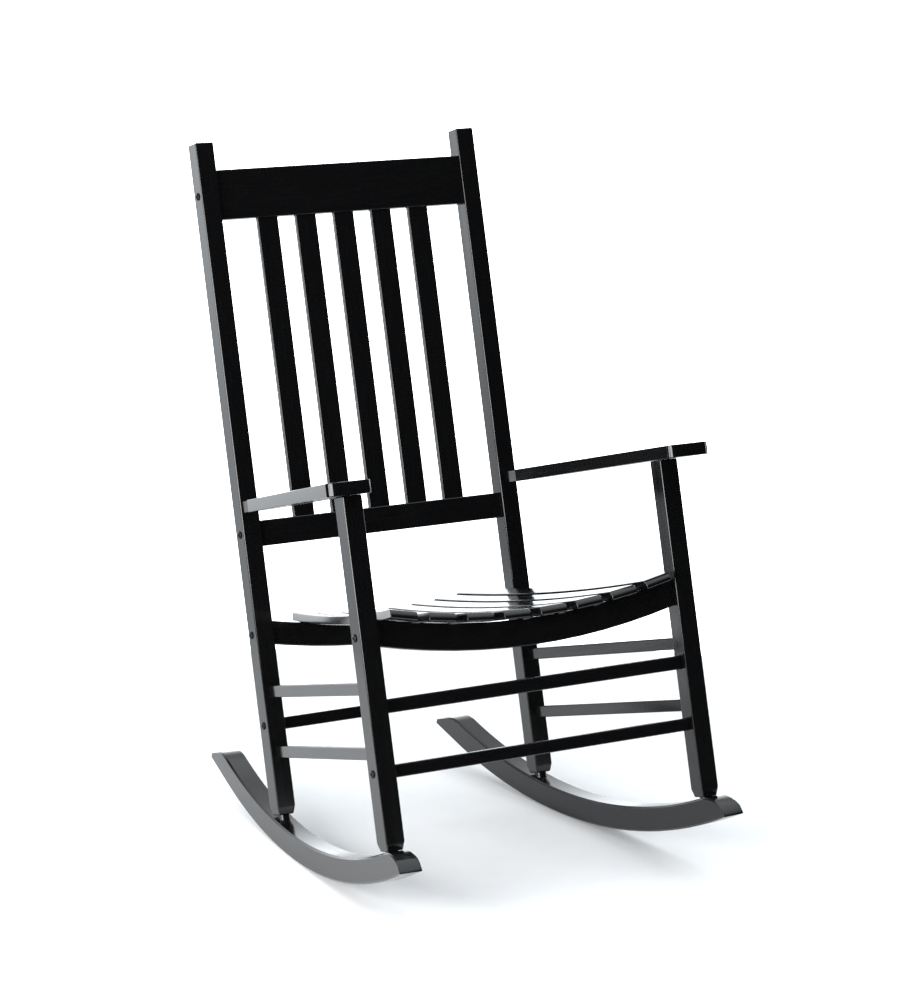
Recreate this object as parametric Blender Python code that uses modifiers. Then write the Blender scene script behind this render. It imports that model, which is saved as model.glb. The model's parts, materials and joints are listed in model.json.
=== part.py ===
"""Black wooden rocking chair with a slatted seat and a slatted back.

The posts, rails, stretchers and arms are square to one another, so they are laid out in the
frame's own axes and parented to an empty that leans them back: X across, Y towards the back and
Z up the posts. The two rockers stand in world axes and are toed in like the sides of the seat.
The chair is symmetric about X = 0. A name that ends in _l is on +X, the sitter's left.
"""

import math

import bmesh
import bpy
from mathutils import Vector

MODEL_NAME = "rocking_chair"

# Overall layout, in metres and in the leaning frame's axes unless a name says otherwise.
LEAN = math.radians(14.84)
FIT = 0.0003
MERGE = 0.0001
TOUCH_WORLD_Y = 0.049
TOUCH_TO_FRAME_Y = 0.012

POST = 0.033
REAR_POST_X = 0.2491
REAR_POST_Y = 0.0412
REAR_POST_TOP = 1.197
FRONT_POST_X = 0.2883
FRONT_POST_Y = -0.4282
ARM_BOTTOM = 0.571

# Post feet: a four-sided taper, then a round dowel into the rocker.
FOOT_TAPER_HEIGHT = 0.014
FOOT_END = 0.0265
REAR_FOOT_BOTTOM = 0.063
FRONT_FOOT_BOTTOM = 0.019
DOWEL_RADIUS = 0.0102
DOWEL_IN_POST = 0.025
DOWEL_LENGTH = 0.058
DOWEL_SIDES = 16

# Back: two rails bolted between the rear posts, with five slats tenoned into them.
CREST_BOTTOM = 1.0657
CREST_TOP = 1.1501
LOWER_RAIL_BOTTOM = 0.5131
LOWER_RAIL_TOP = 0.5568
RAIL_THICKNESS = 0.020
BACK_SLAT_COUNT = 5
BACK_SLAT_PITCH = 0.072
BACK_SLAT_WIDTH = 0.038
BACK_SLAT_THICKNESS = 0.010
BACK_TENON = 0.012

# Seat: two rails with a scooped top edge, and eight slats that fan out towards the front.
FRONT_SEAT_RAIL_Z = (0.3024, 0.346)
REAR_SEAT_RAIL_Z = (0.325, 0.365)
FRONT_SEAT_RAIL_Y = -0.4247
REAR_SEAT_RAIL_Y = 0.0447
SEAT_SCOOP = 0.425
SEAT_RAIL_FACETS = 12
SEAT_SLAT_COUNT = 8
SEAT_SLAT_THICKNESS = 0.0145
SEAT_FRONT_Y = -0.460
SEAT_REAR_Y = 0.066
SEAT_FRONT_WIDTH = 0.0480
SEAT_REAR_WIDTH = 0.0365
SEAT_FRONT_PITCH = 0.0667
SEAT_REAR_PITCH = 0.0457
SEAT_DISH = 0.0065
SEAT_NOSE_TOP_RADIUS = 0.010
SEAT_NOSE_BOTTOM_RADIUS = 0.003
SEAT_SLAT_FACETS = 10
FRONT_REST_GAP = 0.0009
REAR_REST_GAP = 0.0016

# Stretchers.
CROSS_STRETCHER_THICKNESS = 0.014
REAR_STRETCHER_Z = (0.2041, 0.2242)
FRONT_UPPER_STRETCHER_Z = (0.2297, 0.2519)
FRONT_LOWER_STRETCHER_Z = (0.1297, 0.1501)
SIDE_STRETCHER_THICKNESS = 0.010
SIDE_UPPER_STRETCHER_Z = (0.2605, 0.2805)
SIDE_LOWER_STRETCHER_Z = (0.1592, 0.1792)
TENON = 0.014

# Arms, as offsets across X at the right and left edges of the board.
ARM_THICKNESS = 0.021
ARM_FRONT_Y = -0.483
ARM_STEP_Y = -0.474
ARM_SHOULDER_Y = -0.025
ARM_NOSE_X = (0.2717, 0.3415)
ARM_STEP_X = (0.2690, 0.3465)
ARM_SHOULDER_X = (0.2355, 0.2755)
ARM_TONGUE_X = (0.2422, 0.2621)
ARM_TONGUE_Z = (0.5725, 0.5908)
ARM_TONGUE_TENON = 0.013
ARM_WASTE_LENGTH = 0.1
ARM_WASTE_HEIGHT = 0.01
ARM_CORNER_RADIUS = 0.008

# Rockers: the lower edge is one arc. The depth fades to a round nose in front and to a
# longer point at the back.
ROCKER_RADIUS = 1.025
ROCKER_DEPTH = 0.042
ROCKER_THICKNESS = 0.038
ROCKER_BACK_ARC = 0.3795
ROCKER_FRONT_ARC = 0.4915
ROCKER_FRONT_TIP_LENGTH = 0.058
ROCKER_BACK_TIP_LENGTH = 0.062
ROCKER_FRONT_TIP_DEPTH = 0.08
ROCKER_BACK_TIP_DEPTH = 0.22
ROCKER_FACET = 0.0285
ROCKER_FRONT_FACETS = 15
ROCKER_BACK_FACETS = 11
ROCKER_TIP_FACETS = 6

# Bolts with domed heads and hexagon sockets, each into a barrel nut in its rail.
BOLT_RADIUS = 0.003
BOLT_LENGTH = 0.070
BOLT_HEAD_RADIUS = 0.0065
BOLT_HEAD_HEIGHT = 0.003
BOLT_SOCKET_RADIUS = 0.0024
BOLT_SOCKET_DEPTH = 0.0018
BOLT_SIDES = 12
BORE_RADIUS = 0.0034
NUT_RADIUS = 0.005
NUT_FROM_RAIL_END = 0.028
NUT_MARGIN = 0.003
RAIL_BORE_DEPTH = 0.040
CREST_BOLT_Z = 1.108
LOWER_RAIL_BOLT_Z = 0.536
REAR_SEAT_BOLT_Z = 0.367
REAR_STRETCHER_BOLT_Z = 0.2142
FRONT_SEAT_BOLT_Z = 0.351
FRONT_STRETCHER_BOLT_Z = 0.1399

SIDES = (("l", 1), ("r", -1))
POST_EDGE = 0.002
BOARD_EDGE = 0.0015
ARM_EDGE = 0.003
ROCKER_EDGE = 0.003


def clear_scene():
    """Remove every object that the file starts with."""
    for item in list(bpy.data.objects):
        bpy.data.objects.remove(item, do_unlink=True)


def make_collection(name):
    """Add a collection to the scene."""
    collection = bpy.data.collections.new(name)
    bpy.context.scene.collection.children.link(collection)
    return collection


def make_material(name, colour, roughness, metallic):
    """One finish as a Principled BSDF."""
    material = bpy.data.materials.new(name)
    material.use_nodes = True
    shader = material.node_tree.nodes["Principled BSDF"]
    shader.inputs["Base Color"].default_value = (*colour, 1.0)
    shader.inputs["Roughness"].default_value = roughness
    shader.inputs["Metallic"].default_value = metallic
    return material


class Chair:
    """The collections, the leaning frame and the finishes that all pieces share."""

    def __init__(self):
        self.parts = make_collection(MODEL_NAME)
        self.cutters = make_collection("cutters")
        self.lacquer = make_material("black_lacquered_wood", (0.012, 0.012, 0.013), 0.32, 0.0)
        self.steel = make_material("blackened_steel", (0.010, 0.010, 0.010), 0.40, 1.0)
        self.zinc = make_material("zinc_plated_steel", (0.42, 0.43, 0.44), 0.35, 1.0)
        self.lean = bpy.data.objects.new("lean", None)
        self.lean.location = (0.0, TOUCH_WORLD_Y + TOUCH_TO_FRAME_Y, 0.0)
        self.lean.rotation_euler = (-LEAN, 0.0, 0.0)
        self.parts.objects.link(self.lean)

    def place(self, name, bm, location, rotation=(0.0, 0.0, 0.0), material=None):
        """Make a mesh object from a bmesh and hang it on the leaning frame."""
        bmesh.ops.recalc_face_normals(bm, faces=bm.faces)
        mesh = bpy.data.meshes.new(name)
        bm.to_mesh(mesh)
        bm.free()
        item = bpy.data.objects.new(name, mesh)
        if material:
            mesh.materials.append(material)
        collection = self.parts if material else self.cutters
        collection.objects.link(item)
        item.parent = self.lean
        item.location = location
        item.rotation_euler = rotation
        return item

    def cut(self, target, bm, location, rotation=(0.0, 0.0, 0.0)):
        """Cut a shape out of a piece; the cutter stays as a hidden wire object."""
        name = f"cut_{target.name}_{len(target.modifiers)}"
        cutter = self.place(name, bm, location, rotation)
        cutter.hide_render = True
        cutter.display_type = "WIRE"
        modifier = target.modifiers.new(name, "BOOLEAN")
        modifier.operation = "DIFFERENCE"
        modifier.solver = "EXACT"
        modifier.object = cutter


def block(width, depth, height):
    """A box centred on its origin."""
    bm = bmesh.new()
    bmesh.ops.create_cube(bm, size=1.0)
    bmesh.ops.scale(bm, vec=(width, depth, height), verts=bm.verts)
    return bm


def rod(radius, length, sides):
    """A round bar along Z, centred on its origin."""
    bm = bmesh.new()
    bmesh.ops.create_cone(
        bm, cap_ends=True, segments=sides, radius1=radius, radius2=radius, depth=length
    )
    return bm


def divide(bm, axis, positions):
    """Run a loop of edges round a block at each position along one axis."""
    normal = Vector((0.0, 0.0, 0.0))
    normal[axis] = 1.0
    for position in positions:
        geometry = bm.verts[:] + bm.edges[:] + bm.faces[:]
        bmesh.ops.bisect_plane(bm, geom=geometry, plane_co=normal * position, plane_no=normal)


def steps(start, end, count):
    """The inner points of a span that is divided evenly."""
    return [start + (end - start) * index / count for index in range(1, count)]


def blend(start, end, share):
    """The value a given share of the way from start to end."""
    return start + (end - start) * share


def soften(item, width, segments=1):
    """Round every sharp edge of a piece."""
    bevel = item.modifiers.new("rounded_edges", "BEVEL")
    bevel.width = width
    bevel.segments = segments
    bevel.limit_method = "ANGLE"


def shade_round(item):
    """Smooth the round faces and keep the sharp edges."""
    item.data.shade_smooth()
    item.data.set_sharp_from_angle(angle=math.radians(35.0))


# Posts and their feet.


def make_post(chair, name, x, y, bottom, top):
    """A square post whose foot tapers on all four sides."""
    height = top - bottom
    bm = block(POST, POST, height)
    divide(bm, 2, [FOOT_TAPER_HEIGHT - height / 2])
    foot = [vertex for vertex in bm.verts if vertex.co.z < FOOT_TAPER_HEIGHT / 2 - height / 2]
    bmesh.ops.scale(bm, vec=(FOOT_END / POST, FOOT_END / POST, 1.0), verts=foot)
    post = chair.place(name, bm, (x, y, bottom + height / 2), material=chair.lacquer)
    soften(post, POST_EDGE)
    bore = rod(DOWEL_RADIUS + FIT, 2 * DOWEL_IN_POST, DOWEL_SIDES)
    chair.cut(post, bore, (x, y, bottom + FIT))
    return post


def make_foot_dowel(chair, name, x, y, foot_bottom):
    """The round pin that joins a post to its rocker."""
    middle = foot_bottom + DOWEL_IN_POST - DOWEL_LENGTH / 2
    bm = rod(DOWEL_RADIUS, DOWEL_LENGTH, DOWEL_SIDES)
    dowel = chair.place(name, bm, (x, y, middle), material=chair.lacquer)
    shade_round(dowel)


# Bolted cross rails.


def bolt_profile():
    """The half outline of a bolt on the XZ plane, from the top of its domed head to its end."""
    dome = BOLT_HEAD_RADIUS
    points = []
    for index in range(4):
        angle = math.radians(90.0) * index / 3
        points.append((dome * math.sin(angle), BOLT_HEAD_HEIGHT * (0.35 + 0.65 * math.cos(angle))))
    points += [(dome, FIT), (BOLT_RADIUS, FIT), (BOLT_RADIUS, -BOLT_LENGTH), (0.0, -BOLT_LENGTH)]
    return points


def make_bolt(chair, name, side, face_x, y, z):
    """A bolt whose head stands on a post's outer face."""
    bm = bmesh.new()
    row = [bm.verts.new((x, 0.0, height)) for x, height in bolt_profile()]
    for start, end in zip(row, row[1:]):
        bm.edges.new((start, end))
    turn = (0.0, side * math.radians(90.0), 0.0)
    bolt = chair.place(name, bm, (side * face_x, y, z), turn, chair.steel)
    screw = bolt.modifiers.new("turned", "SCREW")
    screw.steps = BOLT_SIDES
    screw.render_steps = BOLT_SIDES
    screw.use_merge_vertices = True
    screw.merge_threshold = MERGE
    socket_middle = side * (face_x + BOLT_HEAD_HEIGHT)
    socket = rod(BOLT_SOCKET_RADIUS, 2 * BOLT_SOCKET_DEPTH, 6)
    chair.cut(bolt, socket, (socket_middle, y, z), turn)


def make_barrel_nut(chair, name, x, y, z, length):
    """A cross dowel of steel, bored for its bolt."""
    upright = (math.radians(90.0), 0.0, 0.0)
    bm = rod(NUT_RADIUS, length, BOLT_SIDES)
    nut = chair.place(name, bm, (x, y, z), upright, chair.zinc)
    shade_round(nut)
    across = (0.0, math.radians(90.0), 0.0)
    chair.cut(nut, rod(BORE_RADIUS, 4 * NUT_RADIUS, BOLT_SIDES), (x, y, z), across)


def bolt_up(chair, rail, posts, post_x, y, z, thickness, label):
    """Fasten a rail between two posts with a bolt and a barrel nut at each end."""
    turn = (0.0, math.radians(90.0), 0.0)
    upright = (math.radians(90.0), 0.0, 0.0)
    outer = post_x + POST / 2
    rail_end = post_x - POST / 2
    nut_length = thickness - 2 * NUT_MARGIN
    pocket = thickness - NUT_MARGIN + FIT
    for tag, side in SIDES:
        nut_x = side * (rail_end - NUT_FROM_RAIL_END)
        chair.cut(posts[tag], rod(BORE_RADIUS, 2 * POST, BOLT_SIDES), (side * post_x, y, z), turn)
        bore = rod(BORE_RADIUS, 2 * RAIL_BORE_DEPTH, BOLT_SIDES)
        chair.cut(rail, bore, (side * rail_end, y, z), turn)
        hole = rod(NUT_RADIUS + FIT, 2 * pocket, BOLT_SIDES)
        chair.cut(rail, hole, (nut_x, y + thickness / 2, z), upright)
        make_bolt(chair, f"bolt_{label}_{tag}", side, outer, y, z)
        make_barrel_nut(chair, f"barrel_nut_{label}_{tag}", nut_x, y, z, nut_length)


def make_cross_rail(chair, name, post_x, y, span, thickness):
    """A straight rail that butts against the inner faces of two posts."""
    length = 2 * (post_x - POST / 2 - FIT)
    bottom, top = span
    bm = block(length, thickness, top - bottom)
    rail = chair.place(name, bm, (0.0, y, (bottom + top) / 2), material=chair.lacquer)
    soften(rail, BOARD_EDGE)
    return rail


def make_seat_rail(chair, name, post_x, y, span):
    """A rail whose top and bottom edges are scooped like the seat."""
    length = 2 * (post_x - POST / 2 - FIT)
    bottom, top = span
    bm = block(length, RAIL_THICKNESS, top - bottom)
    divide(bm, 0, steps(-length / 2, length / 2, SEAT_RAIL_FACETS))
    for vertex in bm.verts:
        vertex.co.z += SEAT_SCOOP * vertex.co.x**2
    rail = chair.place(name, bm, (0.0, y, (bottom + top) / 2), material=chair.lacquer)
    soften(rail, BOARD_EDGE)
    return rail


# Tenoned pieces.


def mortise(chair, target, size, location, rotation=(0.0, 0.0, 0.0)):
    """Cut a pocket for a tenon of the given size, with a small gap all round."""
    width, depth, height = (length + 2 * FIT for length in size)
    chair.cut(target, block(width, depth, height), location, rotation)


def make_back_slat(chair, name, x, crest, lower_rail):
    """An upright slat tenoned into both back rails."""
    length = CREST_BOTTOM - LOWER_RAIL_TOP + 2 * BACK_TENON
    size = (BACK_SLAT_WIDTH, BACK_SLAT_THICKNESS, length)
    location = (x, REAR_POST_Y, (CREST_BOTTOM + LOWER_RAIL_TOP) / 2)
    slat = chair.place(name, block(*size), location, material=chair.lacquer)
    soften(slat, BOARD_EDGE)
    mortise(chair, crest, size, location)
    mortise(chair, lower_rail, size, location)


def make_side_stretcher(chair, name, side, span, front_post, rear_post):
    """A stretcher that follows the splay from a front post to a rear post."""
    run = REAR_POST_Y - FRONT_POST_Y
    splay = math.atan2(FRONT_POST_X - REAR_POST_X, run)
    length = (run - POST + 2 * TENON) / math.cos(splay)
    size = (SIDE_STRETCHER_THICKNESS, length, span[1] - span[0])
    x = side * (FRONT_POST_X + REAR_POST_X) / 2
    location = (x, (FRONT_POST_Y + REAR_POST_Y) / 2, (span[0] + span[1]) / 2)
    turn = (0.0, 0.0, side * splay)
    stretcher = chair.place(name, block(*size), location, turn, chair.lacquer)
    soften(stretcher, BOARD_EDGE)
    mortise(chair, front_post, size, location, turn)
    mortise(chair, rear_post, size, location, turn)


def make_tenoned_stretcher(chair, name, posts, span):
    """The upper front stretcher, tenoned into both front posts."""
    length = 2 * (FRONT_POST_X - POST / 2 + TENON)
    size = (length, CROSS_STRETCHER_THICKNESS, span[1] - span[0])
    location = (0.0, FRONT_POST_Y, (span[0] + span[1]) / 2)
    stretcher = chair.place(name, block(*size), location, material=chair.lacquer)
    soften(stretcher, BOARD_EDGE)
    for post in posts.values():
        mortise(chair, post, size, location)


# Seat slats.


def seat_level(x, y):
    """Height of a slat's underside where its middle line crosses the point."""
    share = (y - FRONT_SEAT_RAIL_Y) / (REAR_SEAT_RAIL_Y - FRONT_SEAT_RAIL_Y)
    front = FRONT_SEAT_RAIL_Z[1] + FRONT_REST_GAP
    rear = REAR_SEAT_RAIL_Z[1] + REAR_REST_GAP
    dish = 4 * SEAT_DISH * share * (1 - share)
    return blend(front, rear, share) - dish + SEAT_SCOOP * x**2


def round_nose(bm, above, radius):
    """Round the front edge of a slat, either above or below its middle."""
    nose = [
        edge
        for edge in bm.edges
        if all(vertex.co.y < 0.0 and above * vertex.co.z > 0.0 for vertex in edge.verts)
    ]
    bmesh.ops.bevel(bm, geom=nose, offset=radius, segments=4, profile=0.5, affect="EDGES")


def make_seat_slat(chair, name, front_x, rear_x):
    """A slat that narrows to the back, dips along its length and lies on the scooped rails."""
    run = SEAT_REAR_Y - SEAT_FRONT_Y
    bm = block(1.0, run, SEAT_SLAT_THICKNESS)
    round_nose(bm, -1, SEAT_NOSE_BOTTOM_RADIUS)
    round_nose(bm, 1, SEAT_NOSE_TOP_RADIUS)
    divide(bm, 1, steps(-run / 2, run / 2, SEAT_SLAT_FACETS))
    base = seat_level(front_x, SEAT_FRONT_Y)
    for vertex in bm.verts:
        share = vertex.co.y / run + 0.5
        middle_x = blend(front_x, rear_x, share)
        tilt = math.atan(2 * SEAT_SCOOP * middle_x)
        across = vertex.co.x * blend(SEAT_FRONT_WIDTH, SEAT_REAR_WIDTH, share)
        up = vertex.co.z + SEAT_SLAT_THICKNESS / 2
        rise = seat_level(middle_x, SEAT_FRONT_Y + share * run) - base
        vertex.co.x = middle_x - front_x + across * math.cos(tilt) - up * math.sin(tilt)
        vertex.co.y = share * run
        vertex.co.z = rise + across * math.sin(tilt) + up * math.cos(tilt)
    slat = chair.place(name, bm, (front_x, SEAT_FRONT_Y, base), material=chair.lacquer)
    shade_round(slat)


# Arms.


def rounded_corner(x, y, across, radius):
    """Points of a quarter circle inside a front corner, from its side to its front."""
    points = []
    for index in range(5):
        angle = math.radians(90.0) * index / 4
        points.append((x - across * radius * (1 - math.cos(angle)), y + radius * (1 - math.sin(angle))))
    return points


def arm_outline(side):
    """The arm's outline seen from above, once round."""
    inner_nose, outer_nose = ARM_NOSE_X
    tongue_end = REAR_POST_Y - POST / 2 + ARM_TONGUE_TENON
    outline = [(ARM_TONGUE_X[1], tongue_end), (ARM_TONGUE_X[1], ARM_SHOULDER_Y)]
    outline += [(ARM_SHOULDER_X[1], ARM_SHOULDER_Y), (ARM_STEP_X[1], ARM_STEP_Y)]
    outline += rounded_corner(outer_nose, ARM_FRONT_Y, 1, ARM_CORNER_RADIUS)
    outline += reversed(rounded_corner(inner_nose, ARM_FRONT_Y, -1, ARM_CORNER_RADIUS))
    outline += [(ARM_STEP_X[0], ARM_STEP_Y), (ARM_SHOULDER_X[0], ARM_SHOULDER_Y)]
    outline += [(ARM_TONGUE_X[0], ARM_SHOULDER_Y), (ARM_TONGUE_X[0], tongue_end)]
    return [(side * x, y) for x, y in outline]


def board_mesh(outline, thickness):
    """A flat board from its outline, filled and extruded as a curve and then made a mesh."""
    curve = bpy.data.curves.new("outline", "CURVE")
    curve.dimensions = "2D"
    curve.fill_mode = "BOTH"
    curve.extrude = thickness / 2
    spline = curve.splines.new("POLY")
    spline.points.add(len(outline) - 1)
    for point, (x, y) in zip(spline.points, outline):
        point.co = (x, y, 0.0, 1.0)
    spline.use_cyclic_u = True
    source = bpy.data.objects.new("outline", curve)
    bpy.context.scene.collection.objects.link(source)
    graph = bpy.context.evaluated_depsgraph_get()
    mesh = bpy.data.meshes.new_from_object(source.evaluated_get(graph))
    bm = bmesh.new()
    bm.from_mesh(mesh)
    bmesh.ops.remove_doubles(bm, verts=bm.verts, dist=MERGE)
    bmesh.ops.dissolve_limit(bm, angle_limit=math.radians(1.0), verts=bm.verts, edges=bm.edges)
    bpy.data.objects.remove(source, do_unlink=True)
    bpy.data.meshes.remove(mesh)
    return bm


def make_arm(chair, name, side, rear_post):
    """A tapered arm with a tongue let into the rear post."""
    bm = board_mesh(arm_outline(side), ARM_THICKNESS)
    middle = ARM_BOTTOM + ARM_THICKNESS / 2
    arm = chair.place(name, bm, (0.0, 0.0, middle), material=chair.lacquer)
    soften(arm, ARM_EDGE, segments=2)
    tongue_x = side * (ARM_TONGUE_X[0] + ARM_TONGUE_X[1]) / 2
    tongue_width = ARM_TONGUE_X[1] - ARM_TONGUE_X[0]
    height = ARM_TONGUE_Z[1] - ARM_TONGUE_Z[0]
    for edge, direction in zip(ARM_TONGUE_Z, (-1, 1)):
        waste = block(2 * tongue_width, ARM_WASTE_LENGTH, ARM_WASTE_HEIGHT)
        waste_y = ARM_SHOULDER_Y + ARM_WASTE_LENGTH / 2
        chair.cut(arm, waste, (tongue_x, waste_y, edge + direction * ARM_WASTE_HEIGHT / 2))
    size = (tongue_width, 2 * ARM_TONGUE_TENON, height)
    mortise(chair, rear_post, size, (tongue_x, REAR_POST_Y - POST / 2, sum(ARM_TONGUE_Z) / 2))


# Rockers.


def rocker_depth_at(arc):
    """Depth of the rocker: an elliptic fade to the front nose and a sine fade to the back one."""
    front = max(0.0, min(1.0, (arc + ROCKER_FRONT_ARC) / ROCKER_FRONT_TIP_LENGTH))
    back = max(0.0, min(1.0, (ROCKER_BACK_ARC - arc) / ROCKER_BACK_TIP_LENGTH))
    front_fade = blend(ROCKER_FRONT_TIP_DEPTH, 1.0, math.sqrt(front * (2.0 - front)))
    back_fade = blend(ROCKER_BACK_TIP_DEPTH, 1.0, math.sin(math.radians(90.0) * back))
    return ROCKER_DEPTH * min(front_fade, back_fade)


def rocker_stations():
    """Places of the rocker's cross edges along its arc, closer together near the tips."""
    middle = [
        (index + 0.5) * ROCKER_FACET for index in range(-ROCKER_FRONT_FACETS, ROCKER_BACK_FACETS)
    ]
    shares = [(index / ROCKER_TIP_FACETS) ** 1.7 for index in range(1, ROCKER_TIP_FACETS + 1)]
    front = [ROCKER_FRONT_TIP_LENGTH * share - ROCKER_FRONT_ARC for share in shares]
    back = [ROCKER_BACK_ARC - ROCKER_BACK_TIP_LENGTH * share for share in shares]
    return front + middle + back


def make_rocker(chair, name, side, posts_and_feet):
    """A bent board on its arc, standing in world axes and toed in with the side of the chair."""
    length = ROCKER_FRONT_ARC + ROCKER_BACK_ARC
    middle = (ROCKER_BACK_ARC - ROCKER_FRONT_ARC) / 2
    bm = block(ROCKER_THICKNESS, length, ROCKER_DEPTH)
    long_edges = [edge for edge in bm.edges if abs(edge.verts[0].co.y - edge.verts[1].co.y) > FIT]
    bmesh.ops.bevel(bm, geom=long_edges, offset=ROCKER_EDGE, segments=1, affect="EDGES")
    bmesh.ops.translate(bm, vec=(0.0, middle, ROCKER_DEPTH / 2), verts=bm.verts)
    divide(bm, 1, rocker_stations())
    for vertex in bm.verts:
        arc = vertex.co.y
        radius = ROCKER_RADIUS - vertex.co.z * rocker_depth_at(arc) / ROCKER_DEPTH
        vertex.co.y = radius * math.sin(arc / ROCKER_RADIUS)
        vertex.co.z = ROCKER_RADIUS - radius * math.cos(arc / ROCKER_RADIUS)
    front_foot, rear_foot = posts_and_feet
    run = rear_foot.y - front_foot.y
    toe_in = math.atan2(front_foot.x - rear_foot.x, run)
    x = blend(front_foot.x, rear_foot.x, (TOUCH_WORLD_Y - front_foot.y) / run)
    rocker = chair.place(name, bm, (0.0, 0.0, 0.0), material=chair.lacquer)
    rocker.parent = None
    facet_sag = ROCKER_RADIUS * (1 - math.cos(ROCKER_FACET / 2 / ROCKER_RADIUS))
    rocker.location = (side * x, TOUCH_WORLD_Y, -facet_sag)
    rocker.rotation_euler = (0.0, 0.0, side * toe_in)
    for post_x, post_y, foot_bottom in (
        (FRONT_POST_X, FRONT_POST_Y, FRONT_FOOT_BOTTOM),
        (REAR_POST_X, REAR_POST_Y, REAR_FOOT_BOTTOM),
    ):
        bore = rod(DOWEL_RADIUS + FIT, DOWEL_LENGTH, DOWEL_SIDES)
        bore_middle = foot_bottom + DOWEL_IN_POST - FIT - DOWEL_LENGTH / 2
        chair.cut(rocker, bore, (side * post_x, post_y, bore_middle))


def foot_in_world(x, y, z):
    """Where a post's foot stands in world axes."""
    world_y = TOUCH_WORLD_Y + TOUCH_TO_FRAME_Y + y * math.cos(LEAN) + z * math.sin(LEAN)
    world_z = z * math.cos(LEAN) - y * math.sin(LEAN)
    return Vector((x, world_y, world_z))


# Assembly.


def build_posts(chair):
    """The four posts with their foot dowels."""
    rear = {}
    front = {}
    for tag, side in SIDES:
        rear_x = side * REAR_POST_X
        front_x = side * FRONT_POST_X
        rear[tag] = make_post(
            chair, f"rear_post_{tag}", rear_x, REAR_POST_Y, REAR_FOOT_BOTTOM, REAR_POST_TOP
        )
        front[tag] = make_post(
            chair, f"front_post_{tag}", front_x, FRONT_POST_Y, FRONT_FOOT_BOTTOM, ARM_BOTTOM - FIT
        )
        make_foot_dowel(chair, f"foot_dowel_rear_{tag}", rear_x, REAR_POST_Y, REAR_FOOT_BOTTOM)
        make_foot_dowel(chair, f"foot_dowel_front_{tag}", front_x, FRONT_POST_Y, FRONT_FOOT_BOTTOM)
    return front, rear


def build_back(chair, rear):
    """The crest rail, the lower back rail and the slats between them."""
    crest_span = (CREST_BOTTOM, CREST_TOP)
    lower_span = (LOWER_RAIL_BOTTOM, LOWER_RAIL_TOP)
    crest = make_cross_rail(
        chair, "crest_rail", REAR_POST_X, REAR_POST_Y, crest_span, RAIL_THICKNESS
    )
    lower = make_cross_rail(
        chair, "lower_back_rail", REAR_POST_X, REAR_POST_Y, lower_span, RAIL_THICKNESS
    )
    for index in range(BACK_SLAT_COUNT):
        x = (index - (BACK_SLAT_COUNT - 1) / 2) * BACK_SLAT_PITCH
        make_back_slat(chair, f"back_slat_{index + 1}", x, crest, lower)
    for rail, z, label in ((crest, CREST_BOLT_Z, "crest"), (lower, LOWER_RAIL_BOLT_Z, "back")):
        bolt_up(chair, rail, rear, REAR_POST_X, REAR_POST_Y, z, RAIL_THICKNESS, label)


def build_seat(chair, front, rear):
    """The two scooped rails and the slats that lie on them."""
    front_rail = make_seat_rail(
        chair, "front_seat_rail", FRONT_POST_X, FRONT_SEAT_RAIL_Y, FRONT_SEAT_RAIL_Z
    )
    rear_rail = make_seat_rail(
        chair, "rear_seat_rail", REAR_POST_X, REAR_SEAT_RAIL_Y, REAR_SEAT_RAIL_Z
    )
    bolt_up(
        chair, front_rail, front, FRONT_POST_X, FRONT_SEAT_RAIL_Y, FRONT_SEAT_BOLT_Z,
        RAIL_THICKNESS, "seat_front",
    )
    bolt_up(
        chair, rear_rail, rear, REAR_POST_X, REAR_SEAT_RAIL_Y, REAR_SEAT_BOLT_Z,
        RAIL_THICKNESS, "seat_rear",
    )
    for index in range(SEAT_SLAT_COUNT):
        place = index - (SEAT_SLAT_COUNT - 1) / 2
        name = f"seat_slat_{index + 1}"
        make_seat_slat(chair, name, place * SEAT_FRONT_PITCH, place * SEAT_REAR_PITCH)


def build_stretchers(chair, front, rear):
    """Two stretchers on each side, two at the front and one at the back."""
    thickness = CROSS_STRETCHER_THICKNESS
    back = make_cross_rail(
        chair, "rear_stretcher", REAR_POST_X, REAR_POST_Y, REAR_STRETCHER_Z, thickness
    )
    low = make_cross_rail(
        chair, "front_stretcher_lower", FRONT_POST_X, FRONT_POST_Y, FRONT_LOWER_STRETCHER_Z, thickness
    )
    bolt_up(
        chair, back, rear, REAR_POST_X, REAR_POST_Y, REAR_STRETCHER_BOLT_Z, thickness,
        "rear_stretcher",
    )
    bolt_up(
        chair, low, front, FRONT_POST_X, FRONT_POST_Y, FRONT_STRETCHER_BOLT_Z, thickness,
        "front_stretcher",
    )
    make_tenoned_stretcher(chair, "front_stretcher_upper", front, FRONT_UPPER_STRETCHER_Z)
    for tag, side in SIDES:
        for level, span in (("upper", SIDE_UPPER_STRETCHER_Z), ("lower", SIDE_LOWER_STRETCHER_Z)):
            name = f"side_stretcher_{level}_{tag}"
            make_side_stretcher(chair, name, side, span, front[tag], rear[tag])


def build_arms_and_rockers(chair, rear):
    """The arms on the front posts and the rockers under the feet."""
    front_foot = foot_in_world(FRONT_POST_X, FRONT_POST_Y, FRONT_FOOT_BOTTOM)
    rear_foot = foot_in_world(REAR_POST_X, REAR_POST_Y, REAR_FOOT_BOTTOM)
    for tag, side in SIDES:
        make_arm(chair, f"armrest_{tag}", side, rear[tag])
        make_rocker(chair, f"rocker_{tag}", side, (front_foot, rear_foot))


def main():
    """Build the whole chair."""
    clear_scene()
    chair = Chair()
    front, rear = build_posts(chair)
    build_back(chair, rear)
    build_seat(chair, front, rear)
    build_stretchers(chair, front, rear)
    build_arms_and_rockers(chair, rear)


main()
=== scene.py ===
import json
import math

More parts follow.
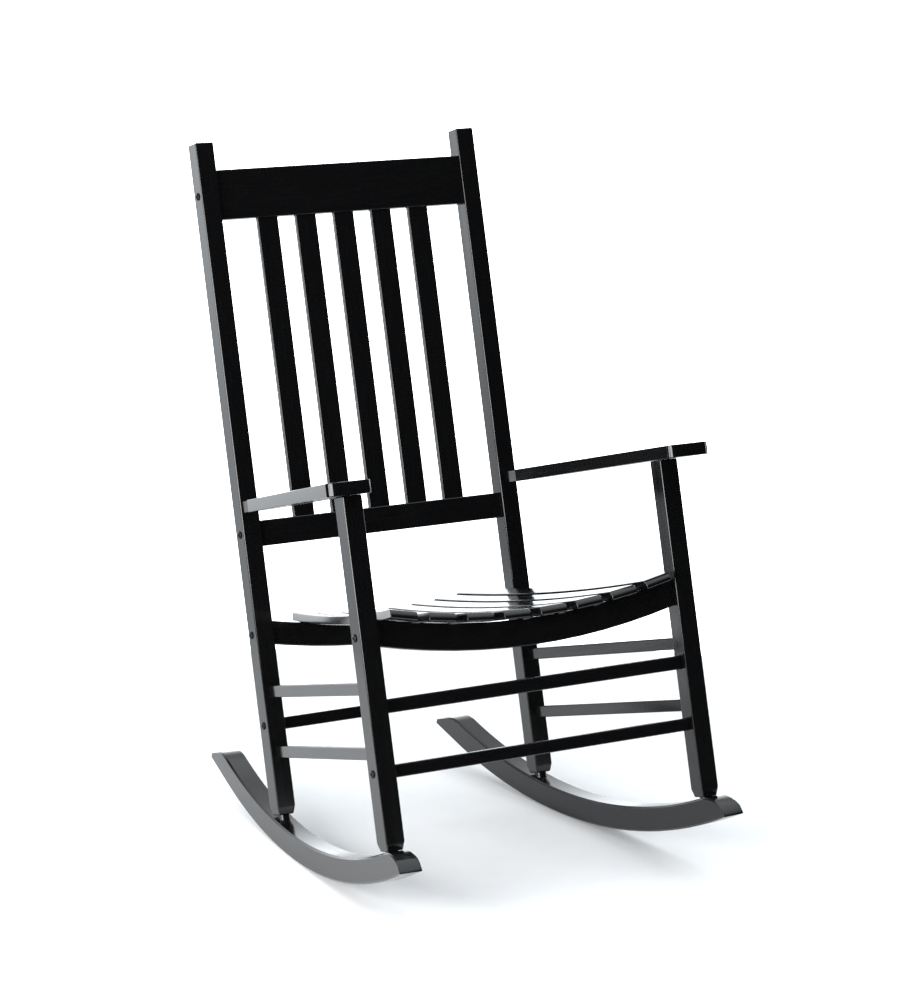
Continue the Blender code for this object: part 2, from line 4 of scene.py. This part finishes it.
import bpy
from bpy.props import FloatProperty, FloatVectorProperty, PointerProperty
from mathutils import Matrix, Vector


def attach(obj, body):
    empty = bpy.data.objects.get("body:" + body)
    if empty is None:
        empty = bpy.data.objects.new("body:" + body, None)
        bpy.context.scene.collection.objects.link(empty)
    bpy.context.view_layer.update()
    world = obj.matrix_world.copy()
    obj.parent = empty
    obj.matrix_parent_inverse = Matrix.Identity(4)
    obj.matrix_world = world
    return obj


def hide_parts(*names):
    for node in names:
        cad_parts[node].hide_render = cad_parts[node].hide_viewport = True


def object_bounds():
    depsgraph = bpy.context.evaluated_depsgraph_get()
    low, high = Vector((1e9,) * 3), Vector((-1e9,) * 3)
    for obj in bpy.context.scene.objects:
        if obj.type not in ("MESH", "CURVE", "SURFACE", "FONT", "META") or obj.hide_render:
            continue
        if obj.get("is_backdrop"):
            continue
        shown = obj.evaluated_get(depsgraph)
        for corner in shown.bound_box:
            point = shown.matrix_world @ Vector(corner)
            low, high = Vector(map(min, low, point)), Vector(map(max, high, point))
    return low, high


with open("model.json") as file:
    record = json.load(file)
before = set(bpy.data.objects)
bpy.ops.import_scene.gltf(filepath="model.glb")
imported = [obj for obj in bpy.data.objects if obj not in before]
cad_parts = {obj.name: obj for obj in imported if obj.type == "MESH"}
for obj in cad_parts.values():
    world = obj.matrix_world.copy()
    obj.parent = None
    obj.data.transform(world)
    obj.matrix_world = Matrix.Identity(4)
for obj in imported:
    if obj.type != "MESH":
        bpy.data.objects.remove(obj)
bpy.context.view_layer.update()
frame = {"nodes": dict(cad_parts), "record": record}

bl_info = {
    "name": "Black Porch Rocker",
    "version": (1, 0, 0),
    "blender": (4, 5, 0),
    "location": "3D View > Sidebar > Rocker",
    "description": "Dresses the frame of a wooden rocking chair with rounded, lacquered pieces",
    "category": "Object",
}

BODY = "root"
SIDES = ("l", "r")
RAIL_LABELS = ("crest", "back", "seat_front", "seat_rear", "rear_stretcher", "front_stretcher")

# The arms' top face leans with the frame, so its normal gives the lean of all the joinery.
ARM_NORMAL = Vector(frame["record"]["mounts"][0]["axis"])
LEAN = math.atan2(ARM_NORMAL.y, ARM_NORMAL.z)
LEANING = Matrix.Rotation(-LEAN, 4, "X")


def extent(node, axes):
    """Lowest and highest corner of a CAD node, measured along the given axes."""
    to_axes = axes.inverted()
    points = [to_axes @ vertex.co for vertex in frame["nodes"][node].data.vertices]
    low = Vector([min(point[axis] for point in points) for axis in range(3)])
    high = Vector([max(point[axis] for point in points) for axis in range(3)])
    return low, high


FRONT_POST_LOW = extent("front_post_l", LEANING)[0]
REAR_POST_LOW = extent("rear_post_l", LEANING)[0]
SPLAY = math.atan2(FRONT_POST_LOW.x - REAR_POST_LOW.x, REAR_POST_LOW.y - FRONT_POST_LOW.y)

BACK_SLAT_COUNT = 5
SEAT_SLAT_COUNT = 8

# Width of a post's foot as a share of the post, and the end rounding of its dowel, in metres.
FOOT_SHARE = 0.803
DOWEL_END_INSET = 0.002
DOWEL_END_RISE = 0.0015

# Length of a back slat's tenon that stays inside each rail, in metres.
HIDDEN_TENON = 0.009

# Bolts, in metres.
SHANK_RADIUS = 0.003
FLANGE_LIFT = 0.00005
HEAD_HEIGHT = 0.003
RIM_SHARE = 0.35
SOCKET_RADIUS = 0.0024
SOCKET_RIM_RADIUS = 0.0029
SOCKET_BAR_LENGTH = 0.0036
DOME_STEPS = 6

# The stage, in metres.
FLOOR_RADIUS = 1.3
PANEL_PLACE = (-2.6, -0.7, 0.85)
PANEL_SIZE = (3.0, 1.5)
CAMERA_WHITE = 2.0


class RockerSettings(bpy.types.PropertyGroup):
    """Sizes and colours of the chair that a user may change."""

    post_edge: FloatProperty(
        name="Post edge", description="Radius along the posts' corners",
        default=0.0022, min=0.0002, max=0.004, subtype="DISTANCE", unit="LENGTH",
    )
    rail_edge: FloatProperty(
        name="Rail edge", description="Radius along rails, slats and stretchers",
        default=0.0018, min=0.0002, max=0.004, subtype="DISTANCE", unit="LENGTH",
    )
    curved_edge: FloatProperty(
        name="Curved edge", description="Extra rounding on the sawn curves",
        default=0.0012, min=0.0002, max=0.003, subtype="DISTANCE", unit="LENGTH",
    )
    foot_taper: FloatProperty(
        name="Foot taper", description="Height of the four-sided taper at each post's foot",
        default=0.014, min=0.005, max=0.02, subtype="DISTANCE", unit="LENGTH",
    )
    lacquer: FloatVectorProperty(
        name="Lacquer", description="Colour of the black lacquer, as sRGB",
        default=(0.030, 0.030, 0.034), size=3, min=0.0, max=1.0, subtype="COLOR_GAMMA",
    )
    gloss: FloatProperty(
        name="Roughness", description="Roughness of the lacquer film",
        default=0.15, min=0.05, max=0.9, subtype="FACTOR",
    )
    panel_power: FloatProperty(
        name="Side panel", description="Power of the low soft panel at the left",
        default=170.0, min=0.0, max=2000.0, subtype="POWER", unit="POWER",
    )
    backdrop: FloatProperty(
        name="Backdrop", description="Brightness of the lit backdrop in reflections",
        default=3.0, min=0.0, max=20.0,
    )


def settings():
    """The scene's settings."""
    return bpy.context.scene.rocker_settings


# Finishes.


def linear(text):
    """A hex sRGB colour as a linear RGBA value."""
    values = [int(text[start:start + 2], 16) / 255 for start in (1, 3, 5)]
    return tuple(v / 12.92 if v <= 0.04045 else ((v + 0.055) / 1.055) ** 2.4 for v in values) + (1.0,)


def add_node(tree, kind, links=(), **values):
    """Add a node with its settings; links are pairs of an input's name and the socket that feeds it."""
    node = tree.nodes.new(kind)
    for name, value in values.items():
        if hasattr(node, name):
            setattr(node, name, value)
        else:
            node.inputs[name.replace("_", " ")].default_value = value
    for name, source in links:
        tree.links.new(node.inputs[name], source)
    return node


def new_material(name):
    """A material with an empty tree, its Principled shader and its output."""
    material = bpy.data.materials.new(name)
    material.use_nodes = True
    tree = material.node_tree
    tree.nodes.clear()
    shader = tree.nodes.new("ShaderNodeBsdfPrincipled")
    output = tree.nodes.new("ShaderNodeOutputMaterial")
    tree.links.new(output.inputs["Surface"], shader.outputs["BSDF"])
    return material, tree, shader


def black_lacquer(name, rotation):
    """Sprayed semi-gloss black lacquer on a fine-pored hardwood.

    The film is black and glossy, and the sanded grain below it telegraphs through as faint
    streaks along each stick. The rotation turns the pattern so that its Z runs along the grain.
    """
    material, tree, shader = new_material(name)
    coords = add_node(tree, "ShaderNodeTexCoord")
    turned = add_node(
        tree, "ShaderNodeMapping", [("Vector", coords.outputs["Object"])], vector_type="POINT",
    )
    turned.inputs["Rotation"].default_value = rotation
    # Pores are about 0.8 mm apart across the grain and 25 mm long; drawn at 2 mm so they show.
    streaks = add_node(
        tree, "ShaderNodeMapping", [("Vector", turned.outputs["Vector"])], vector_type="POINT",
    )
    streaks.inputs["Scale"].default_value = (1.0, 1.0, 0.05)
    grain = add_node(
        tree, "ShaderNodeTexNoise", [("Vector", streaks.outputs["Vector"])],
        Scale=480.0, Detail=4.0, Roughness=0.6,
    )
    # Broad bands of the growth rings, about 12 mm apart.
    rings = add_node(
        tree, "ShaderNodeTexNoise", [("Vector", streaks.outputs["Vector"])],
        Scale=80.0, Detail=2.0, Roughness=0.5,
    )
    # Orange peel of the sprayed film, about 3 mm from crest to crest.
    peel = add_node(
        tree, "ShaderNodeTexNoise", [("Vector", coords.outputs["Object"])],
        Scale=330.0, Detail=1.0, Roughness=0.4,
    )
    base = tuple(settings().lacquer)
    deep = "#" + "".join(f"{round(255 * value):02x}" for value in base)
    ramp = add_node(tree, "ShaderNodeValToRGB", [("Fac", grain.outputs["Fac"])])
    ramp.color_ramp.elements[0].position = 0.35
    ramp.color_ramp.elements[0].color = linear(deep)
    ramp.color_ramp.elements[1].position = 0.75
    ramp.color_ramp.elements[1].color = linear("#0e0e0f")
    tree.links.new(shader.inputs["Base Color"], ramp.outputs["Color"])
    rough = add_node(
        tree, "ShaderNodeMapRange", [("Value", rings.outputs["Fac"])],
    )
    rough.inputs["From Min"].default_value = 0.3
    rough.inputs["From Max"].default_value = 0.7
    rough.inputs["To Min"].default_value = settings().gloss - 0.03
    rough.inputs["To Max"].default_value = settings().gloss + 0.04
    tree.links.new(shader.inputs["Roughness"], rough.outputs["Result"])
    relief = add_node(
        tree, "ShaderNodeBump", [("Height", grain.outputs["Fac"])], Strength=0.12, Distance=0.0003,
    )
    film = add_node(
        tree, "ShaderNodeBump",
        [("Height", peel.outputs["Fac"]), ("Normal", relief.outputs["Normal"])],
        Strength=0.10, Distance=0.0002,
    )
    tree.links.new(shader.inputs["Normal"], film.outputs["Normal"])
    shader.inputs["IOR"].default_value = 1.5
    return material


def black_oxide_steel():
    """Black-oxide steel of the bolt heads: a dark, oiled metal with a soft mottled sheen."""
    material, tree, shader = new_material("black_oxide_steel")
    coords = add_node(tree, "ShaderNodeTexCoord")
    # Mottling of the oxide bath, about 1 mm across.
    mottle = add_node(
        tree, "ShaderNodeTexNoise", [("Vector", coords.outputs["Object"])],
        Scale=900.0, Detail=3.0, Roughness=0.6,
    )
    ramp = add_node(tree, "ShaderNodeValToRGB", [("Fac", mottle.outputs["Fac"])])
    ramp.color_ramp.elements[0].color = linear("#161617")
    ramp.color_ramp.elements[1].color = linear("#2b2b2d")
    tree.links.new(shader.inputs["Base Color"], ramp.outputs["Color"])
    rough = add_node(tree, "ShaderNodeMapRange", [("Value", mottle.outputs["Fac"])])
    rough.inputs["To Min"].default_value = 0.32
    rough.inputs["To Max"].default_value = 0.48
    tree.links.new(shader.inputs["Roughness"], rough.outputs["Result"])
    shader.inputs["Metallic"].default_value = 1.0
    return material


def zinc_plated_steel():
    """Bright zinc plate of the hidden barrel nuts: pale, slightly spangled metal."""
    material, tree, shader = new_material("zinc_plated_steel")
    coords = add_node(tree, "ShaderNodeTexCoord")
    # Spangle of the plating, about 1.5 mm across.
    spangle = add_node(
        tree, "ShaderNodeTexVoronoi", [("Vector", coords.outputs["Object"])], Scale=650.0,
    )
    ramp = add_node(tree, "ShaderNodeValToRGB", [("Fac", spangle.outputs["Distance"])])
    ramp.color_ramp.elements[0].color = linear("#a4a7ab")
    ramp.color_ramp.elements[1].color = linear("#c3c6ca")
    tree.links.new(shader.inputs["Base Color"], ramp.outputs["Color"])
    rough = add_node(tree, "ShaderNodeMapRange", [("Value", spangle.outputs["Distance"])])
    rough.inputs["To Min"].default_value = 0.28
    rough.inputs["To Max"].default_value = 0.42
    tree.links.new(shader.inputs["Roughness"], rough.outputs["Result"])
    shader.inputs["Metallic"].default_value = 1.0
    return material


def seamless_paper():
    """Matt white studio paper: nearly even, with a faint fibre tone."""
    material, tree, shader = new_material("matt_white_paper")
    coords = add_node(tree, "ShaderNodeTexCoord")
    # Fibre clouds of the paper, about 40 mm across.
    fibre = add_node(
        tree, "ShaderNodeTexNoise", [("Vector", coords.outputs["Object"])],
        Scale=25.0, Detail=3.0, Roughness=0.5,
    )
    ramp = add_node(tree, "ShaderNodeValToRGB", [("Fac", fibre.outputs["Fac"])])
    ramp.color_ramp.elements[0].color = linear("#f2f3f4")
    ramp.color_ramp.elements[1].color = linear("#f7f8f8")
    tree.links.new(shader.inputs["Base Color"], ramp.outputs["Color"])
    shader.inputs["Roughness"].default_value = 0.85
    return material


GRAIN_TURNS = {
    "up": (LEAN, 0.0, 0.0),
    "across": (0.0, math.radians(90.0), 0.0),
    "back": (LEAN + math.radians(90.0), 0.0, 0.0),
    "level": (math.radians(90.0), 0.0, 0.0),
}


def finish_material(kind):
    """The shared material of a kind, made once."""
    builders = {"steel": black_oxide_steel, "zinc": zinc_plated_steel}
    name = {"steel": "black_oxide_steel", "zinc": "zinc_plated_steel"}.get(kind, f"black_lacquer_{kind}")
    found = bpy.data.materials.get(name)
    if found:
        return found
    if kind in builders:
        return builders[kind]()
    return black_lacquer(name, GRAIN_TURNS[kind])


# Modelling.


def deselect_all():
    """Leave edit mode and clear the selection."""
    if bpy.context.object and bpy.context.object.mode != "OBJECT":
        bpy.ops.object.mode_set(mode="OBJECT")
    bpy.ops.object.select_all(action="DESELECT")


def activate(piece):
    """Make a piece the only selected object."""
    deselect_all()
    piece.select_set(True)
    bpy.context.view_layer.objects.active = piece


def pick_faces(piece, test):
    """Select the faces whose centre and normal pass a test, and enter edit mode on them."""
    activate(piece)
    bpy.ops.object.mode_set(mode="EDIT")
    bpy.ops.mesh.select_mode(type="FACE")
    bpy.ops.mesh.select_all(action="DESELECT")
    bpy.ops.object.mode_set(mode="OBJECT")
    for face in piece.data.polygons:
        face.select = test(face.center, face.normal)
    bpy.ops.object.mode_set(mode="EDIT")


def settle(piece, matrix):
    """Turn a piece into place and put that place in its mesh."""
    activate(piece)
    piece.matrix_world = matrix @ piece.matrix_world
    bpy.ops.object.transform_apply(location=True, rotation=True, scale=True)


def round_edges(piece, radius, segments=3, angle=40.0):
    """Round the sharp edges, keeping the flat faces flat in shading."""
    activate(piece)
    bpy.ops.object.shade_smooth()
    bevel = piece.modifiers.new("rounded_edges", "BEVEL")
    bevel.width = radius
    bevel.segments = segments
    bevel.limit_method = "ANGLE"
    bevel.angle_limit = math.radians(angle)
    bevel.harden_normals = True


def dress(piece, node, kind):
    """Give a piece its finish and let it stand for its CAD node."""
    piece.data.materials.clear()
    piece.data.materials.append(finish_material(kind))
    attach(piece, BODY)
    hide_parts(node)
    deselect_all()


def stick(name, low, high):
    """A cube stretched between two corners."""
    deselect_all()
    bpy.ops.mesh.primitive_cube_add(size=1.0, location=(low + high) / 2)
    piece = bpy.context.object
    piece.name = name
    piece.data.name = name
    piece.scale = high - low
    bpy.ops.object.transform_apply(location=True, rotation=True, scale=True)
    return piece


def straight_piece(node, kind, axes=LEANING, inset=(0.0, 0.0, 0.0)):
    """A straight board with rounded edges at its CAD node's size and place."""
    low, high = extent(node, axes)
    margin = Vector(inset)
    piece = stick(f"{node}_wood", low + margin, high - margin)
    settle(piece, axes)
    round_edges(piece, settings().rail_edge)
    dress(piece, node, kind)
    return piece


def sawn_piece(node, kind, radius):
    """A curved piece cleaned up from its CAD solid, with its edges rounded further."""
    source = frame["nodes"][node]
    piece = source.copy()
    piece.data = source.data.copy()
    piece.name = f"{node}_wood"
    bpy.context.scene.collection.objects.link(piece)
    piece.parent = None
    piece.matrix_world = Matrix.Identity(4)
    activate(piece)
    bpy.ops.object.mode_set(mode="EDIT")
    bpy.ops.mesh.select_all(action="SELECT")
    bpy.ops.mesh.remove_doubles(threshold=0.00002)
    bpy.ops.mesh.dissolve_limited(angle_limit=math.radians(0.4))
    bpy.ops.object.mode_set(mode="OBJECT")
    round_edges(piece, radius, segments=2, angle=32.0)
    # The broad faces keep their own normals, so the rounding does not dim them.
    broad = piece.modifiers.new("broad_faces", "WEIGHTED_NORMAL")
    broad.mode = "FACE_AREA"
    broad.weight = 80
    dress(piece, node, kind)
    return piece


class OBJECT_OT_rocker_posts(bpy.types.Operator):
    """Model the four square posts with tapered feet"""

    bl_idname = "object.rocker_posts"
    bl_label = "Posts"

    def execute(self, context):
        """Extrude a tapered foot below each post."""
        taper = settings().foot_taper
        for place in ("rear", "front"):
            for side in SIDES:
                node = f"{place}_post_{side}"
                low, high = extent(node, LEANING)
                foot = Vector((0.0, 0.0, taper))
                piece = stick(f"{node}_wood", low + foot, high)
                pick_faces(piece, lambda centre, normal: normal.z < -0.9)
                bpy.ops.mesh.extrude_region_move(
                    TRANSFORM_OT_translate={"value": (0.0, 0.0, -taper)}
                )
                bpy.ops.transform.resize(value=(FOOT_SHARE, FOOT_SHARE, 1.0))
                bpy.ops.object.mode_set(mode="OBJECT")
                settle(piece, LEANING)
                round_edges(piece, settings().post_edge)
                dress(piece, node, "up")
                self.pin(f"foot_dowel_{place}_{side}")
        return {"FINISHED"}

    def pin(self, node):
        """The round neck between a post and its rocker."""
        low, high = extent(node, LEANING)
        deselect_all()
        bpy.ops.mesh.primitive_cylinder_add(
            vertices=40, radius=(high.x - low.x) / 2, depth=high.z - low.z, location=(low + high) / 2
        )
        piece = bpy.context.object
        piece.name = f"{node}_wood"
        pick_faces(piece, lambda centre, normal: abs(normal.z) > 0.9)
        bpy.ops.mesh.inset(thickness=DOWEL_END_INSET, depth=DOWEL_END_RISE)
        bpy.ops.object.mode_set(mode="OBJECT")
        settle(piece, LEANING)
        bpy.ops.object.shade_smooth_by_angle(angle=math.radians(30.0))
        dress(piece, node, "up")


class OBJECT_OT_rocker_back(bpy.types.Operator):
    """Model the crest rail, the lower back rail and the back slats"""

    bl_idname = "object.rocker_back"
    bl_label = "Back"

    def execute(self, context):
        """Lay the rails across and stand the slats between them."""
        straight_piece("crest_rail", "across")
        straight_piece("lower_back_rail", "across")
        for index in range(1, BACK_SLAT_COUNT + 1):
            straight_piece(f"back_slat_{index}", "up", inset=(0.0, 0.0, HIDDEN_TENON))
        return {"FINISHED"}


class OBJECT_OT_rocker_stretchers(bpy.types.Operator):
    """Model the stretchers at the front, the back and the sides"""

    bl_idname = "object.rocker_stretchers"
    bl_label = "Stretchers"

    def execute(self, context):
        """Lay straight sticks between the posts, the side ones splayed."""
        for node in ("rear_stretcher", "front_stretcher_upper", "front_stretcher_lower"):
            straight_piece(node, "across")
        for side, turn in (("l", SPLAY), ("r", -SPLAY)):
            axes = LEANING @ Matrix.Rotation(turn, 4, "Z")
            for level in ("upper", "lower"):
                straight_piece(f"side_stretcher_{level}_{side}", "back", axes)
        return {"FINISHED"}


class OBJECT_OT_rocker_seat(bpy.types.Operator):
    """Model the scooped seat rails and the seat slats"""

    bl_idname = "object.rocker_seat"
    bl_label = "Seat"

    def execute(self, context):
        """Round the sawn rails and the dished slats."""
        for node in ("front_seat_rail", "rear_seat_rail"):
            sawn_piece(node, "across", settings().curved_edge)
        for index in range(1, SEAT_SLAT_COUNT + 1):
            sawn_piece(f"seat_slat_{index}", "back", settings().rail_edge)
        return {"FINISHED"}


class OBJECT_OT_rocker_arms(bpy.types.Operator):
    """Model the arms"""

    bl_idname = "object.rocker_arms"
    bl_label = "Arms"

    def execute(self, context):
        """Round the arms' edges over."""
        for side in SIDES:
            sawn_piece(f"armrest_{side}", "back", settings().curved_edge)
        return {"FINISHED"}


class OBJECT_OT_rocker_rockers(bpy.types.Operator):
    """Model the two rockers"""

    bl_idname = "object.rocker_rockers"
    bl_label = "Rockers"

    def execute(self, context):
        """Round the rockers' edges over."""
        for side in SIDES:
            sawn_piece(f"rocker_{side}", "level", settings().curved_edge)
        return {"FINISHED"}


class OBJECT_OT_rocker_hardware(bpy.types.Operator):
    """Model the domed bolts with hexagon sockets and finish the barrel nuts"""

    bl_idname = "object.rocker_hardware"
    bl_label = "Hardware"

    def execute(self, context):
        """Turn one bolt for each CAD bolt and plate the nuts."""
        for label in RAIL_LABELS:
            for side, sign in (("l", 1), ("r", -1)):
                self.bolt(f"bolt_{label}_{side}", sign)
                nut = frame["nodes"][f"barrel_nut_{label}_{side}"]
                nut.data.materials.clear()
                nut.data.materials.append(finish_material("zinc"))
        return {"FINISHED"}

    def bolt(self, node, sign):
        """A shank, a flange and a domed head with a hexagon socket, along X."""
        low, high = extent(node, LEANING)
        centre = (low + high) / 2
        head_radius = (high.y - low.y) / 2
        length = high.x - low.x - HEAD_HEIGHT
        deselect_all()
        bpy.ops.mesh.primitive_cylinder_add(vertices=48, radius=SHANK_RADIUS, depth=length)
        piece = bpy.context.object
        piece.name = f"{node}_steel"
        top = length / 2
        pick_faces(piece, lambda middle, normal: normal.z > 0.9)
        self.grow(FLANGE_LIFT, head_radius / SHANK_RADIUS)
        bpy.ops.mesh.extrude_region_move(
            TRANSFORM_OT_translate={"value": (0.0, 0.0, HEAD_HEIGHT * RIM_SHARE)}
        )
        radius = head_radius
        turn = math.radians(90.0) / DOME_STEPS
        for step in range(1, DOME_STEPS + 1):
            next_radius = max(head_radius * math.cos(turn * step), SOCKET_RIM_RADIUS)
            rise = math.sin(turn * step) - math.sin(turn * (step - 1))
            self.grow(HEAD_HEIGHT * (1 - RIM_SHARE) * rise, next_radius / radius)
            radius = next_radius
        bpy.ops.object.mode_set(mode="OBJECT")
        self.socket(piece, top + HEAD_HEIGHT)
        outward = Matrix.Rotation(math.radians(90.0) * sign, 4, "Y")
        slide = Vector((centre.x - sign * HEAD_HEIGHT / 2, centre.y, centre.z))
        settle(piece, LEANING @ Matrix.Translation(slide) @ outward)
        bpy.ops.object.shade_smooth_by_angle(angle=math.radians(35.0))
        dress(piece, node, "steel")

    def grow(self, lift, share):
        """Extrude the selected faces upwards and change their width."""
        bpy.ops.mesh.extrude_region_move(TRANSFORM_OT_translate={"value": (0.0, 0.0, lift)})
        bpy.ops.transform.resize(value=(share, share, 1.0))

    def socket(self, piece, top):
        """Cut the hexagon socket with a six-sided bar and remove the bar."""
        deselect_all()
        bpy.ops.mesh.primitive_cylinder_add(
            vertices=6, radius=SOCKET_RADIUS, depth=SOCKET_BAR_LENGTH, location=(0.0, 0.0, top)
        )
        bar = bpy.context.object
        activate(piece)
        cut = piece.modifiers.new("socket", "BOOLEAN")
        cut.operation = "DIFFERENCE"
        cut.solver = "EXACT"
        cut.object = bar
        bpy.ops.object.modifier_apply(modifier=cut.name)
        bpy.data.objects.remove(bar, do_unlink=True)


class SCENE_OT_rocker_stage(bpy.types.Operator):
    """Add the floor, the lights, the world and the camera"""

    bl_idname = "scene.rocker_stage"
    bl_label = "Stage"

    def execute(self, context):
        """Set up a white sweep with a lit backdrop, a side panel and a dark room in front."""
        context.scene.view_settings.view_transform = "Standard"
        self.floor()
        self.side_panel()
        self.world()
        self.camera()
        return {"FINISHED"}

    def floor(self):
        """A round sheet of white paper under the chair."""
        deselect_all()
        bpy.ops.mesh.primitive_circle_add(
            vertices=96, radius=FLOOR_RADIUS, fill_type="NGON",
            location=(0.0, 0.0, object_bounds()[0][2]),
        )
        floor = bpy.context.object
        floor.name = "paper_floor"
        floor.data.materials.append(seamless_paper())
        floor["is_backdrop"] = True

    def side_panel(self):
        """A wide low panel at the left, for the glints along the rounded corners."""
        data = bpy.data.lights.new("side_panel", "AREA")
        data.shape = "RECTANGLE"
        data.size, data.size_y = PANEL_SIZE
        data.energy = settings().panel_power
        light = bpy.data.objects.new("side_panel", data)
        bpy.context.scene.collection.objects.link(light)
        light.location = PANEL_PLACE
        light.rotation_euler = Vector((1.0, 0.0, 0.0)).to_track_quat("-Z", "Y").to_euler()

    def ramp(self, tree, source, low, high, stops):
        """A brightness that changes along the given places of a value."""
        share = add_node(tree, "ShaderNodeMapRange", [("Value", source)])
        share.inputs["From Min"].default_value = low
        share.inputs["From Max"].default_value = high
        ramp = add_node(tree, "ShaderNodeValToRGB", [("Fac", share.outputs["Result"])])
        elements = ramp.color_ramp.elements
        while len(elements) < len(stops):
            elements.new(0.5)
        for element, (place, value) in zip(elements, stops):
            element.position = (place - low) / (high - low)
            element.color = (value, value, value, 1.0)
        return ramp.outputs["Color"]

    def world(self):
        """A lit backdrop from just left of the chair round to the right, soft light above, dark room."""
        world = bpy.data.worlds.new("studio")
        bpy.context.scene.world = world
        world.use_nodes = True
        tree = world.node_tree
        tree.nodes.clear()
        coords = add_node(tree, "ShaderNodeTexCoord")
        split = add_node(tree, "ShaderNodeSeparateXYZ", [("Vector", coords.outputs["Generated"])])
        turn = add_node(
            tree, "ShaderNodeMath", [(0, split.outputs["X"]), (1, split.outputs["Y"])],
            operation="ARCTAN2",
        )
        # Backdrop by bearing from the back of the chair, in radians, clockwise from above.
        around = self.ramp(
            tree, turn.outputs["Value"], -3.2, 3.2,
            ((-0.58, 0.01), (-0.53, 1.0), (1.25, 1.0), (1.5, 0.01)),
        )
        # Backdrop by height: brightest at the horizon, fading to the ceiling.
        up = self.ramp(
            tree, split.outputs["Z"], -1.0, 1.0,
            ((-0.35, 0.45), (-0.22, 0.6), (-0.11, 1.0), (0.12, 1.0), (0.5, 0.3)),
        )
        # Soft light overhead.
        overhead = self.ramp(
            tree, split.outputs["Z"], -1.0, 1.0, ((0.0, 0.0), (0.55, 0.02), (0.75, 0.55), (1.0, 0.7)),
        )
        wall = add_node(tree, "ShaderNodeMath", [(0, around), (1, up)], operation="MULTIPLY")
        shell = add_node(
            tree, "ShaderNodeMath", [(0, wall.outputs["Value"]), (1, overhead)], operation="MAXIMUM",
        )
        scaled = add_node(
            tree, "ShaderNodeMath", [(0, shell.outputs["Value"])], operation="MULTIPLY",
        )
        scaled.inputs[1].default_value = settings().backdrop
        path = add_node(tree, "ShaderNodeLightPath")
        seen = add_node(
            tree, "ShaderNodeMath",
            [(0, path.outputs["Is Camera Ray"]), (2, scaled.outputs["Value"])],
            operation="MULTIPLY_ADD",
        )
        seen.inputs[1].default_value = CAMERA_WHITE
        surround = add_node(tree, "ShaderNodeBackground", [("Strength", seen.outputs["Value"])])
        surround.inputs["Color"].default_value = linear("#f1f6fa")
        add_node(tree, "ShaderNodeOutputWorld", [("Surface", surround.outputs["Background"])])

    def camera(self):
        """A long lens from the front left, a little above the arms."""
        data = bpy.data.cameras.new("camera")
        data.sensor_fit = "HORIZONTAL"
        data.sensor_width = 36.0
        data.lens = 126.5
        data.clip_end = 200.0
        camera = bpy.data.objects.new("camera", data)
        bpy.context.scene.collection.objects.link(camera)
        camera.location = (-2.507, -4.582, 1.720)
        camera.rotation_euler = (math.radians(77.743), 0.0, math.radians(-28.952))
        bpy.context.scene.camera = camera


OPERATORS = (
    OBJECT_OT_rocker_posts,
    OBJECT_OT_rocker_back,
    OBJECT_OT_rocker_stretchers,
    OBJECT_OT_rocker_seat,
    OBJECT_OT_rocker_arms,
    OBJECT_OT_rocker_rockers,
    OBJECT_OT_rocker_hardware,
    SCENE_OT_rocker_stage,
)


class VIEW3D_PT_rocker(bpy.types.Panel):
    """Settings and steps of the rocking chair"""

    bl_label = "Porch rocker"
    bl_idname = "VIEW3D_PT_rocker"
    bl_space_type = "VIEW_3D"
    bl_region_type = "UI"
    bl_category = "Rocker"

    def draw(self, context):
        """List the settings and the operators."""
        for name in RockerSettings.__annotations__:
            self.layout.prop(context.scene.rocker_settings, name)
        for operator in OPERATORS:
            self.layout.operator(operator.bl_idname)


CLASSES = (RockerSettings, *OPERATORS, VIEW3D_PT_rocker)


def register():
    """Register the classes and the settings."""
    for item in CLASSES:
        bpy.utils.register_class(item)
    bpy.types.Scene.rocker_settings = PointerProperty(type=RockerSettings)


def unregister():
    """Remove the settings and the classes."""
    del bpy.types.Scene.rocker_settings
    for item in reversed(CLASSES):
        bpy.utils.unregister_class(item)


def main():
    """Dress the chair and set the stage."""
    register()
    bpy.ops.object.rocker_posts()
    bpy.ops.object.rocker_back()
    bpy.ops.object.rocker_stretchers()
    bpy.ops.object.rocker_seat()
    bpy.ops.object.rocker_arms()
    bpy.ops.object.rocker_rockers()
    bpy.ops.object.rocker_hardware()
    bpy.ops.scene.rocker_stage()


if __name__ == "__main__":
    main()
